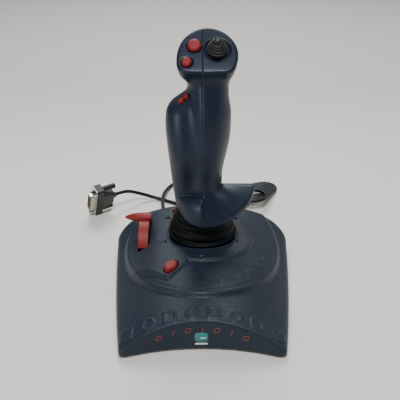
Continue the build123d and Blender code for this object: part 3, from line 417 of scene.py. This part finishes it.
OUTLINE = ease_corner(ease_corner(OUTLINE, FRONT_RIGHT, 5.0), FRONT_LEFT, 5.0)
# depth, crown height and arch radius of each arch section
BODY_ARCH = [(-110.0, 31.3, 128.0), (-56.5, 36.2, 129.0), (10.0, 40.1, 138.0), (110.0, 42.2, 180.0)]
RING_ARCH = [(-110.0, 34.6, 133.0), (-20.5, 43.9, 138.0), (110.0, 42.8, 188.0)]
PLATEAU_ARCH = [(-60.0, 42.0, 160.0), (-20.5, 46.4, 160.0), (110.0, 45.2, 195.0)]
TAB = [(-14.0, -19.5), (-31.0, -39.0), (-66.0, -13.0), (-82.0, 20.0), (-80.0, 70.0), (-52.0, 88.0),
       (-20.0, 73.5), (-14.0, -19.5)]
FRONT_BUTTON, REAR_BUTTON = (-29.2, -24.0), (-25.5, 84.5)
THROTTLE_X, THROTTLE_Y, THROTTLE_Z = -58.9, 47.5, 20.0
COLLAR_R = 32.0
DIMPLES = [(-1.0, -46.5), (-38.0, -14.0), (36.0, -14.0), (-36.5, 32.0), (36.0, 30.0), (0.0, 45.0)]


def arch_top(sections, x, y):
    """Height of a long arch that runs through the given sections."""
    rows = np.array(sections)
    crown, radius = np.interp(y, rows[:, 0], rows[:, 1]), np.interp(y, rows[:, 0], rows[:, 2])
    return crown - radius + np.sqrt(radius ** 2 - np.minimum(np.abs(x), 95.0) ** 2)


def bar(x, y, centre, angle, length, width):
    """Distance in plan to a rounded bar."""
    c, s = math.cos(angle), math.sin(angle)
    u = (x - centre[0]) * c + (y - centre[1]) * s
    v = -(x - centre[0]) * s + (y - centre[1]) * c
    u = np.maximum(np.abs(u) - length / 2, 0)
    return np.hypot(u, v) - width / 2


def relief_marks(x, y):
    """Plain raised bars round the ring and open boxes along the apron."""
    marks = np.full(np.broadcast(x, y).shape, 9.0)
    for step in range(7):
        angle = math.radians(-91.0 + 11.0 * step)
        centre = (66.0 * math.cos(angle), 42.5 + 88.0 * math.sin(angle))
        lean = math.atan2(centre[1] - 42.5, centre[0])
        for shift in (-2.3, 0.0, 2.3)[step % 2:]:
            spot = (centre[0] - shift * math.sin(lean), centre[1] + shift * math.cos(lean))
            marks = np.minimum(marks, bar(x, y, spot, lean, 4.6 - (shift == 0.0) * 2.0, 1.0))
    for step in range(8):
        centre = (-65.5 + 18.7 * step, -84.0 + 5.0 * math.cos((step - 3.5) * 0.6))
        if step % 2:
            shape = np.hypot((x - centre[0]) / 4.8, (y - centre[1]) / 5.4) * 5.0 - 5.0
        else:
            shape = np.maximum(np.abs(x - centre[0]) - 4.6, np.abs(y - centre[1]) - 5.2)
        marks = np.minimum(marks, np.abs(shape) - 0.8)
    return marks


def cover_top(x, y):
    """Height of the cover's top surface."""
    body, ring, plateau = arch_top(BODY_ARCH, x, y), arch_top(RING_ARCH, x, y), arch_top(PLATEAU_ARCH, x, y)
    ellipse = (np.hypot(x / 78.0, (y - STICK_Y - 9.0) / 102.5) - 1.0) * 85.0
    disc = np.hypot(x, y - STICK_Y) - 50.0
    table = smin(disc, outline_distance(x, y, np.array(TAB[:-1])), 3.0)
    top = body + np.maximum(ring - body, 0.0) * ramp(-ellipse, -2.0, 1.6)
    top = top - 2.6 * np.clip((-y - 68.0) / 32.0, 0.0, 1.0) ** 2
    groove = np.exp(-((ellipse + 3.2) / 1.6) ** 2) * 0.5
    top = top - groove * ramp(-y, -60.0, 20.0)
    merge = ramp(x, -76.0, -44.0)
    top = top + np.maximum(plateau - top, 0.0) * ramp(-table, -1.4, 1.1) * merge
    top = top + 0.75 * ramp(-relief_marks(x, y), -0.5, 0.3)
    for dx, dy in DIMPLES:
        reach = np.hypot(x - dx, y - STICK_Y - dy)
        top = top - 1.6 * ramp(-reach, -3.0, -2.0) + 0.3 * np.exp(-((reach - 3.6) / 0.7) ** 2)
    lip = np.hypot(x, y - STICK_Y) - COLLAR_R
    return top + 0.7 * np.exp(-((lip - 1.6) / 1.3) ** 2)


def cover_field(x, y, z):
    """Hollow arched cover with its stick collar, throttle slot and button holes."""
    plan = outline_distance(x[:, :, 0], y[:, :, 0], OUTLINE)[:, :, None]
    top = cover_top(x[:, :, 0], y[:, :, 0])[:, :, None]
    solid = smax(plan, z - top, 3.4)
    under = arch_top(BODY_ARCH, x, y)
    hollow = smax(plan + 2.6, z - under + 2.6, 2.0)
    shell = np.maximum(np.maximum(solid, -hollow), 2.0 - z)
    holes = np.hypot(x, y - STICK_Y) - COLLAR_R
    holes = np.minimum(holes, np.hypot(x - REAR_BUTTON[0], y - REAR_BUTTON[1]) - 6.4)
    c, s = math.cos(math.radians(-25)), math.sin(math.radians(-25))
    u = (x - FRONT_BUTTON[0]) * c + (y - FRONT_BUTTON[1]) * s
    v = -(x - FRONT_BUTTON[0]) * s + (y - FRONT_BUTTON[1]) * c
    holes = np.minimum(holes, (np.hypot(u / 6.1, v / 8.7) - 1.0) * 7.0)
    slot = np.maximum(np.abs(x - THROTTLE_X) - 5.4, np.hypot(y - THROTTLE_Y, z - THROTTLE_Z) - 30.6)
    gland = np.maximum(np.hypot(x + 45.0, z - 12.0) - 4.2, 85.0 - y)
    return smax(shell, -np.minimum(np.minimum(holes, slot), gland), 0.9)


cell = 0.8
points, faces = skin(cover_field, (-91.0, -103.0, 2.0), (91.0, 97.5, 48.6), cell)
cover = make_piece("top_cover", points, faces, COVER, "base")
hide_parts("base_top_cover")


def wall_y(x):
    """Depth of the cover's front wall at x."""
    radius = (71.3 ** 2 + 12.7 ** 2) / (2 * 12.7)
    return -88.8 - radius + math.sqrt(radius ** 2 - x * x)


def wall_patch(name, centre_x, centre_z, half_w, half_h, material, proud, lean=0.0):
    """Thin printed patch, curved to the front wall, with rounded corners and a back face."""
    rows, columns = 5, 7
    front, back = [], []
    for i in range(rows):
        for j in range(columns):
            u, v = 2 * j / (columns - 1) - 1, 2 * i / (rows - 1) - 1
            pinch = 1 - 0.12 * abs(v) ** 4
            x = centre_x + half_w * u * pinch + lean * v * half_h
            z = centre_z + half_h * v * (1 - 0.12 * abs(u) ** 4)
            edge = max(abs(u), abs(v)) ** 6
            front.append((x, wall_y(x) - proud * (1 - 0.7 * edge), z))
            back.append((x, wall_y(x) + 0.3, z))
    faces = []
    for i in range(rows - 1):
        for j in range(columns - 1):
            a = i * columns + j
            quad = [a, a + 1, a + columns + 1, a + columns]
            faces.append(quad)
            faces.append([k + len(front) for k in reversed(quad)])
    rim = [j for j in range(columns)] + [i * columns + columns - 1 for i in range(1, rows)]
    rim += [(rows - 1) * columns + j for j in range(columns - 2, -1, -1)]
    rim += [i * columns for i in range(rows - 2, 0, -1)]
    for a, b in zip(rim, rim[1:] + rim[:1]):
        faces.append([b, a, a + len(front), b + len(front)])
    return make_piece(name, front + back, faces, material, "base")


def front_arch(x):
    """Height of the cover's front edge."""
    return float(arch_top(BODY_ARCH, x, wall_y(x))) - 1.8


# Centre and half size of the four strokes of a mark: two posts, then two bars.
LETTER_STROKES = [(-1.9, 0, 0.45, 2.4), (1.9, 0, 0.45, 2.4), (0.5, 2.0, 1.9, 0.45), (-0.5, -2.0, 1.9, 0.45)]
for step in range(7):
    x = -37.0 + 12.3 * step
    z = front_arch(x) - 8.6 - (abs(step - 3) == 3) * 1.0
    if step % 2:
        wall_patch(f"front_mark_{step}", x, z, 0.6, 2.5, RED_PRINT, 0.25, 0.25)
    else:
        for part, (dx, dz, half_w, half_h) in enumerate(LETTER_STROKES):
            wall_patch(f"front_mark_{step}_{part}", x + dx, z + dz, half_w, half_h,
                       RED_PRINT, 0.25, 0.25 * (part < 2))
wall_patch("badge", -1.0, 14.6, 5.8, 4.9, BADGE, 0.35)
wall_patch("badge_bar", -1.0, 7.4, 5.8, 1.1, WHITE, 0.3)
wall_patch("badge_stripe", 0.4, 14.0, 3.2, 0.8, WHITE, 0.6)

# ---- rear base button ---------------------------------------------------------------------
dome = [(0.0, 43.6), (2.4, 43.4), (4.3, 42.7), (5.3, 41.6), (5.7, 40.2), (5.7, 30.0), (0.0, 30.0)]
ring_points = [(REAR_BUTTON[0] + r * math.cos(a), REAR_BUTTON[1] + r * math.sin(a), z)
               for r, z in dome[1:-1] for a in np.linspace(0, 2 * math.pi, 40, endpoint=False)]
ends = [(REAR_BUTTON[0], REAR_BUTTON[1], dome[0][1]), (REAR_BUTTON[0], REAR_BUTTON[1], dome[-1][1])]
faces = [[i * 40 + j, (i + 1) * 40 + j, (i + 1) * 40 + (j + 1) % 40, i * 40 + (j + 1) % 40]
         for i in range(len(dome) - 3) for j in range(40)]
low_ring = (len(dome) - 3) * 40
faces += [[200, j, (j + 1) % 40] for j in range(40)]
faces += [[201, low_ring + (j + 1) % 40, low_ring + j] for j in range(40)]
rear_button = make_piece("rear_button", ring_points + ends, faces, RED, "base_button_rear")
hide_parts("base_button_rear")

# ---- boot ---------------------------------------------------------------------------------
BOOT_PROFILE = [
    (31.2, 32.0), (31.2, 46.6), (33.2, 47.3), (34.0, 48.2), (33.6, 49.4), (31.4, 50.2), (30.6, 51.4),
    (31.8, 53.0), (32.0, 55.0), (31.2, 57.4), (29.4, 59.4), (28.6, 60.8), (29.2, 62.4), (29.2, 64.4),
    (28.4, 66.2), (26.8, 67.4), (26.2, 68.6), (26.8, 70.2), (26.6, 72.0), (25.2, 73.6), (24.6, 75.2),
    (25.2, 76.8), (25.0, 82.4),
]
BOOT_SPLIT = 62.4


def boot_part(name, rows):
    """One half of the folded boot, turned round the stick axis."""
    steps = 96
    skin_points = []
    heights = np.array([p[1] for p in rows], float)
    radii = np.array([p[0] for p in rows], float)
    fine = np.linspace(0, len(rows) - 1, (len(rows) - 1) * 4 + 1)
    outer = np.stack([np.interp(fine, range(len(rows)), radii), np.interp(fine, range(len(rows)), heights)], 1)
    for _ in range(2):
        outer[1:-1] = (outer[:-2] + 2 * outer[1:-1] + outer[2:]) / 4
    profile = np.concatenate([outer, (outer - [1.2, 0.0])[::-1]])
    for r, z in profile:
        for step in range(steps):
            a = 2 * math.pi * step / steps
            ripple = 1 + 0.006 * math.sin(3 * a + z * 0.3)
            skin_points.append((r * ripple * math.cos(a), STICK_Y + r * ripple * math.sin(a), z))
    count = len(profile)
    faces = []
    for i in range(count):
        for step in range(steps):
            j, nxt = (i + 1) % count, (step + 1) % steps
            faces.append([i * steps + step, i * steps + nxt, j * steps + nxt, j * steps + step])
    made = make_piece(name, skin_points, faces, BOOT, None)
    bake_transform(made)
    return made


low_rows = [p for p in BOOT_PROFILE if p[1] <= BOOT_SPLIT]
high_rows = [p for p in BOOT_PROFILE if p[1] >= BOOT_SPLIT]
boot_low = boot_part("boot_lower", low_rows)
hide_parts("boot")
boot_part("boot_upper", high_rows)

# ---- grip ---------------------------------------------------------------------------------
LEFT_EDGE = [
    (193.5, -13.2), (192.8, -13.9), (187.2, -21.2), (181.6, -28.6), (176.0, -32.2), (169.2, -33.5),
    (159.5, -33.9), (143.3, -32.9), (126.7, -31.3), (109.6, -29.6), (94.4, -27.9), (80.1, -26.1),
    (66.0, -24.0),
]
RIGHT_EDGE = [
    (235.0, 22.5), (209.0, 23.4), (201.7, 23.5), (195.3, 23.4), (188.7, 23.5), (182.6, 24.4),
    (175.1, 25.7), (163.7, 26.0), (150.8, 25.5), (137.7, 23.5), (126.7, 20.7), (115.3, 16.6),
    (106.3, 13.8), (98.0, 13.2), (66.0, 13.0),
]
DEPTHS = [
    (66.0, 22.0, 22.0), (95.0, 22.0, 22.0), (110.0, 23.2, 22.0), (127.0, 25.8, 22.0),
    (151.0, 27.5, 22.0), (169.0, 26.5, 22.0), (181.5, 24.5, 21.0), (194.0, 21.5, 19.0),
    (212.0, 18.0, 17.0), (235.0, 16.0, 17.0),
]
RIM = [
    (-26.5, -3.0), (-22.5, -16.0), (-15.8, -27.0), (-6.2, -35.0), (1.6, -38.0), (11.8, -36.4),
    (22.1, -32.5), (32.5, -26.0), (41.0, -18.0), (46.7, -10.0), (49.6, -2.0), (50.5, 6.0), (47.0, 9.5),
    (30.0, 10.5), (17.0, 14.0), (8.0, 22.5), (-6.0, 23.5), (-20.0, 17.0), (-26.0, 7.0),
]
FACE = np.array([4.5, -8.0, 229.0])
TILT = math.radians(52.0)
NORMAL = np.array([0.0, -math.cos(TILT), math.sin(TILT)])
UP = np.array([0.0, math.sin(TILT), math.cos(TILT)])
FACE_OUTLINE = [
    (1.6, 28.2), (-9.8, 26.0), (-20.0, 18.2), (-26.2, 6.5), (-27.8, -8.0), (-26.2, -15.6),
    (-21.4, -20.4), (-12.0, -21.2), (-3.0, -21.4), (10.0, -21.2), (18.6, -20.6), (24.0, -15.4),
    (26.8, -3.0), (25.6, 7.5), (20.6, 16.4), (12.4, 24.4),
]
RIM_Z = 68.0
SEAM_X = 0.0
SIDE_SPOTS = [(-14.6, -9.0, 190.0), (-18.8, -9.0, 186.0)]
SIDE_NORMAL = np.array([-0.5515, -0.4512, 0.7019])
LARGE_BUTTON, SMALL_BUTTON, HAT_SPOT = (-11.7, 6.4), (-18.0, -10.1), (8.1, 2.3)


def smooth_loop(points, rounds=3):
    """Closed outline with its corners rounded by repeated cutting."""
    loop = np.array(points, float)
    for _ in range(rounds):
        after = np.roll(loop, -1, axis=0)
        loop = np.stack([0.75 * loop + 0.25 * after, 0.25 * loop + 0.75 * after], 1).reshape(-1, loop.shape[1])
    return loop


def oval_section(x, y, centre_x, rx, front, back, power):
    """Rough distance to an oval section; front and back have their own depth."""
    ry = np.where(y < 0, front, back)
    size = (np.abs((x - centre_x) / rx) ** power + np.abs(y / ry) ** power) ** (1.0 / power)
    return (size - 1.0) * np.minimum(rx, ry)


def grip_field(x, y, z):
    """Whole grip: ridged column, palm swell, flared skirt with its wing, and the slanted head."""
    y = y - STICK_Y
    right = curve_through(RIGHT_EDGE, z, 1)
    left = curve_through(LEFT_EDGE, z, 1)
    front, back = curve_through(DEPTHS, z, 1), curve_through(DEPTHS, z, 2)
    ridge = 3.6 - 2.4 * ramp(-z, -150.0, -95.0)
    core_half = right - ridge
    core_half = np.where(x < ridge, np.minimum(core_half, 16.8), core_half)
    core = oval_section(x, y, ridge, core_half, front, back, 1.8)
    swell_centre = -12.5
    swell_half = np.maximum(swell_centre - left, 0.4)
    fullness = np.sqrt(np.clip(swell_half / 20.0, 0.0, 1.0))
    swell_front = front - 3.0 - 2.5 * ramp(-z, -140.0, -100.0) - 6.0 * ramp(z, 130.0, 184.0)
    swell = oval_section(x, y, swell_centre, swell_half, swell_front * fullness + 0.3, 21.0 * fullness + 0.3, 2.1)
    swell = smax(swell, z - 193.0, 5.0)
    neck = oval_section(x, y, 4.6, 14.0, front - 1.0, back, 2.2)
    body = smin(smax(smin(core, neck, 5.0), z - 216.0, 8.0), swell, 7.0)

    rim = smooth_loop(RIM)
    px, py = x[:, :, 0], y[:, :, 0]
    plan = outline_distance(px, py, rim[:, :2])[:, :, None]
    turn = np.arctan2(py, px)
    rim_turn = np.arctan2(rim[:, 1], rim[:, 0])
    order = np.argsort(rim_turn)
    reach_out = np.interp(turn, rim_turn[order], np.hypot(rim[:, 0], rim[:, 1])[order], period=2 * math.pi)
    half_x = np.where(px > 0, 15.2, 27.5)
    half_y = np.where(py > 0, 22.0, 25.0)
    reach_in = 1.0 / np.sqrt((np.cos(turn) / half_x) ** 2 + (np.sin(turn) / half_y) ** 2)
    share = np.clip((np.hypot(px, py) - reach_in) / np.maximum(reach_out - reach_in, 1.5), 0.0, 1.0)
    edge_y = reach_out * np.sin(turn)

    def lift(reach):
        return 5.5 * ramp(reach, 26.0, 51.0)

    edge_top = np.minimum(RIM_Z + 0.38 * (edge_y + 38.0), 83.5) + lift(reach_out) + 6.4
    crease = 98.0 + 6.0 * ramp(-np.sin(turn), 0.0, 1.0)
    wing_top = (crease + (edge_top - crease) * share)[:, :, None]
    wing = smax(plan, z - wing_top, 1.4)
    rise = np.clip((z - edge_top[:, :, None]) / (97.5 - edge_top[:, :, None]), 0.0, 1.0)
    skirt = smax(plan + 6.0 * rise ** 3, z + 0.5 * (y + 30.0) - 101.0, 6.0)
    flare = np.where(x > SEAM_X, wing, skirt)
    bottom = (np.minimum(RIM_Z + 0.38 * (py + 38.0), 83.5) + lift(np.hypot(px, py)))[:, :, None]
    body = smax(body, 80.0 - z, 1.0)
    whole = smin(body, flare, 1.0)
    whole = smax(whole, bottom - z, 1.6)
    cup = np.maximum(plan + 4.5, z - bottom - 4.0)
    whole = smax(whole, -cup, 1.0)

    u = x - FACE[0]
    dy, dz = y - FACE[1], z - FACE[2]
    v = dy * UP[1] + dz * UP[2]
    w = dy * NORMAL[1] + dz * NORMAL[2]
    outline = smooth_loop(FACE_OUTLINE)
    near = (np.abs(u) < 45) & (np.abs(v) < 45) & (np.abs(w) < 45)
    rim_distance = np.full(near.shape, 30.0)
    uu, vv = np.broadcast_arrays(u, v + 0 * u)
    uu, vv = np.broadcast_to(uu, near.shape), np.broadcast_to(vv, near.shape)
    rim_distance[near] = outline_distance(uu[near], vv[near], outline)
    taper = rim_distance + 0.10 * np.clip(-w, 0, 40)
    crowned_face = w - 0.6 + 0.0016 * (u ** 2 + v ** 2)
    head = smax(smax(taper, crowned_face, 3.0), -w - 24.0, 16.0)
    whole = smin(whole, head, 7.0)

    for (bu, bv), radius, depth in ((LARGE_BUTTON, 6.7, 1.6), (SMALL_BUTTON, 5.0, 1.6)):
        hole = np.maximum(np.hypot(u - bu, v - bv) - radius, -w - depth)
        whole = smax(whole, -hole, 0.8)
    dish_reach = np.hypot(u - HAT_SPOT[0], v - HAT_SPOT[1])
    dish = np.maximum(dish_reach - 11.3, -w - 3.0 + 0.01 * dish_reach ** 2)
    whole = smax(whole, -dish, 1.6)
    trigger_hole = np.maximum(np.maximum(np.abs(x) - 5.3, np.abs(z - 175.0) - 20.0), 10.0 - y)
    whole = smax(whole, -trigger_hole, 1.0)
    for sy, sz, reach in ((-11.0, 110.0, 14.4), (10.0, 142.0, 10.8), (1.0, 199.0, 10.8)):
        screw_hole = np.maximum(np.hypot(y - sy, z - sz) - 3.0, reach - x)
        whole = smax(whole, -screw_hole, 0.6)
    for sx, sy, sz in SIDE_SPOTS:
        along = (x - sx) * SIDE_NORMAL[0] + (y - sy) * SIDE_NORMAL[1] + (z - sz) * SIDE_NORMAL[2]
        square = (x - sx) ** 2 + (y - sy) ** 2 + (z - sz) ** 2 - along ** 2
        side_hole = np.maximum(np.sqrt(np.maximum(square, 0)) - 3.1, -along - 1.0)
        whole = smax(whole, -side_hole, 0.6)
    return whole


SEAM = -0.3
cell = 0.85
for side, name in ((-1, "left_grip"), (1, "right_grip")):
    low = (-36.0, -8.0, 66.5) if side < 0 else (SEAM_X - 1.0, -8.0, 66.5)
    high = (SEAM_X + 1.0, 70.0, 250.0) if side < 0 else (53.0, 70.0, 250.0)

    def half(x, y, z):
        return np.maximum(grip_field(x, y, z), SEAM - side * (x - SEAM_X))

    points, faces = skin(half, low, high, cell, relax=1)
    shell = make_piece(name, points, faces, GRIP, "stick")
    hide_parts(name + "_shell")

# ---- floor --------------------------------------------------------------------------------
floor = make_piece("floor", [(-3000, -3000, 0), (3000, -3000, 0), (3000, 3000, 0), (-3000, 3000, 0)],
                   [(0, 1, 2, 3)], FLOOR, smooth=False)
